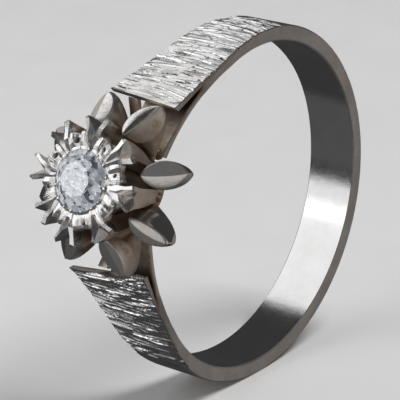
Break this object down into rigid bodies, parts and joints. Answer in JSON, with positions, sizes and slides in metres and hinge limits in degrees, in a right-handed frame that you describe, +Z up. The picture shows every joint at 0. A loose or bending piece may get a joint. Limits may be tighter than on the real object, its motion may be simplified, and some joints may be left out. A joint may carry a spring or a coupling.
{
  "type": "engagement ring",
  "caption": "Illusion-set engagement ring: round brilliant in a star-cut plate with fishtail claws and leaf petals, on a flat band with split, bark-textured shoulders.",
  "frame": {"origin": "centre of the finger hole, midway across the band", "axes": "+Y along the finger's axis, +Z up with the ring standing on its rim, the head pointing to -X and tipped 20 degrees above the horizontal"},
  "size_m": [0.0225, 0.0084, 0.0186],
  "materials": {
    "satin_gold": "white gold, softly worn satin with a warm grey tone",
    "polished_gold": "white gold, bright cut and polished",
    "bark_gold": "white gold, bright hand-cut bark texture",
    "diamond": "polished facets, colourless"
  },
  "bodies": {
    "root": {"shank_hoop": "satin_gold", "shoulder_plate_upper": "bark_gold", "shoulder_plate_lower": "bark_gold", "shoulder_strut_upper": "satin_gold", "shoulder_strut_lower": "satin_gold", "base_ring": "satin_gold", "stone_seat": "satin_gold", "star_plate": "polished_gold", "claw_1": "polished_gold", "claw_2": "polished_gold", "claw_3": "polished_gold", "claw_4": "polished_gold", "claw_5": "polished_gold", "claw_6": "polished_gold", "claw_7": "polished_gold", "claw_8": "polished_gold", "petal_1": "satin_gold", "petal_2": "satin_gold", "petal_3": "satin_gold", "petal_4": "satin_gold", "petal_5": "satin_gold", "petal_6": "satin_gold", "petal_7": "satin_gold", "petal_8": "satin_gold", "diamond": "diamond"}
  },
  "joints": []
}
